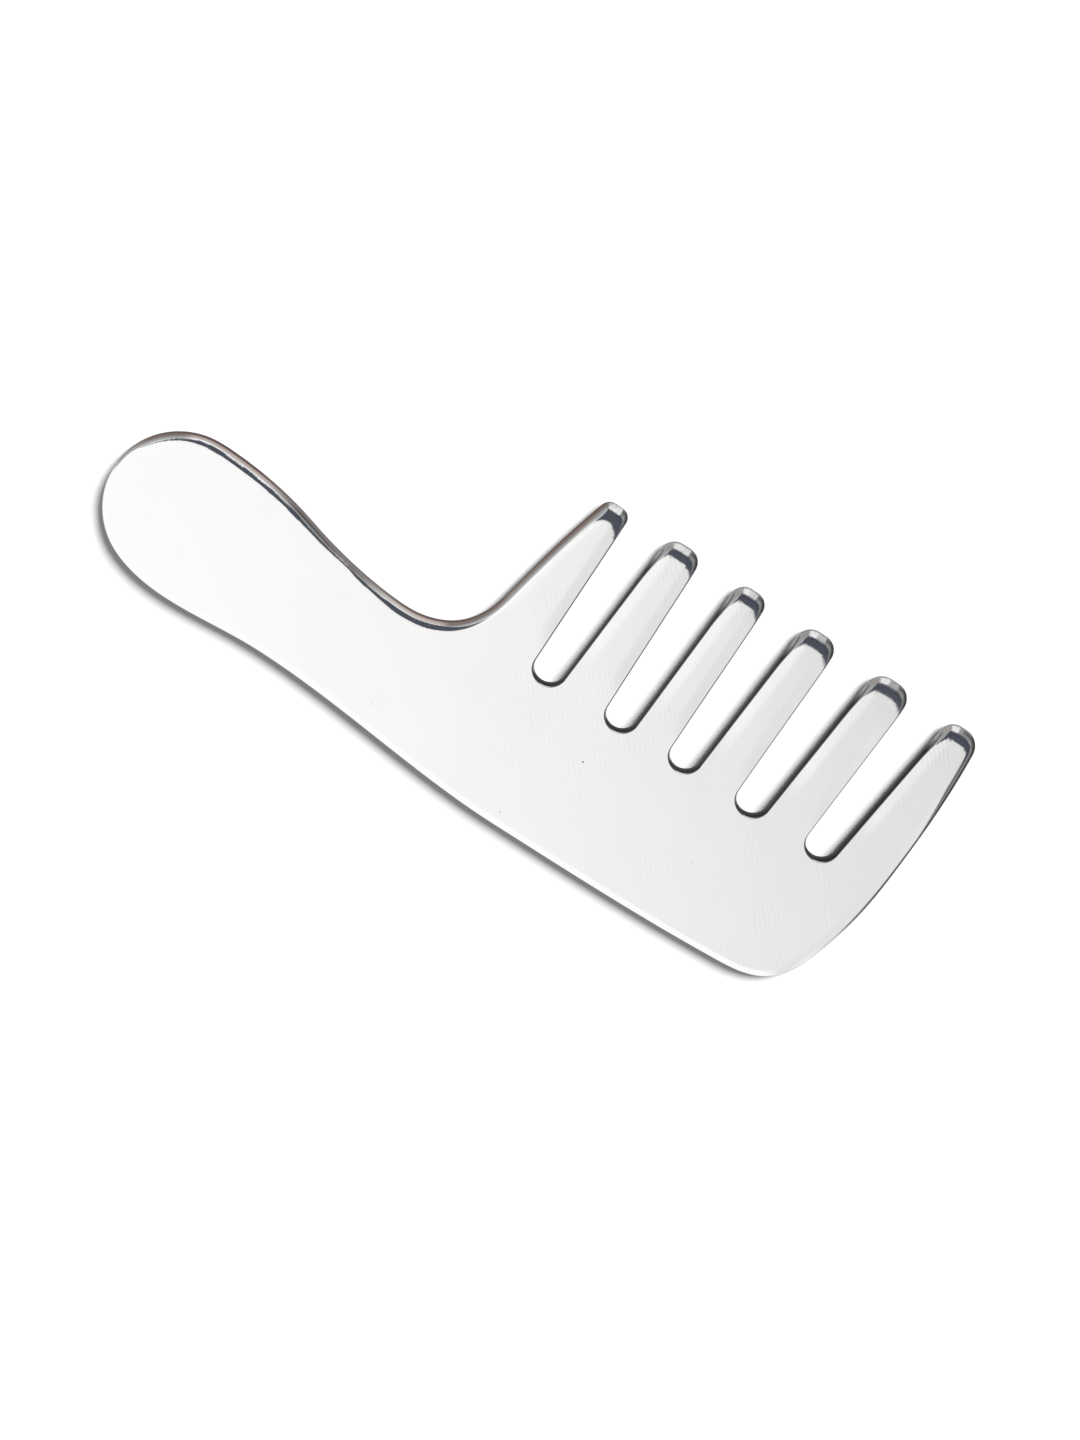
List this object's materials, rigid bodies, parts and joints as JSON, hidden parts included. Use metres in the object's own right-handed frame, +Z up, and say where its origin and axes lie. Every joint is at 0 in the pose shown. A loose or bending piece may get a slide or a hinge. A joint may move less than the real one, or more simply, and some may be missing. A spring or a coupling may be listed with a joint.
{
  "type": "steel grooming comb",
  "caption": "Flat one-piece polished steel comb with a paddle handle, wide rounded teeth, round-bottomed slots and a fully rounded edge.",
  "frame": {"origin": "under the middle of the plate's box, on the back face that it lies on", "axes": "+X along the length, from the handle to the toothed end; +Y towards the tooth tips; +Z up through the thickness, out of the front face"},
  "size_m": [0.18, 0.0712, 0.004],
  "materials": {
    "polished_steel": "hand-polished stainless steel, near mirror, with fine buffing swirls and grinding marks at the edges"
  },
  "bodies": {
    "root": {"comb_plate": "polished_steel"}
  },
  "joints": []
}
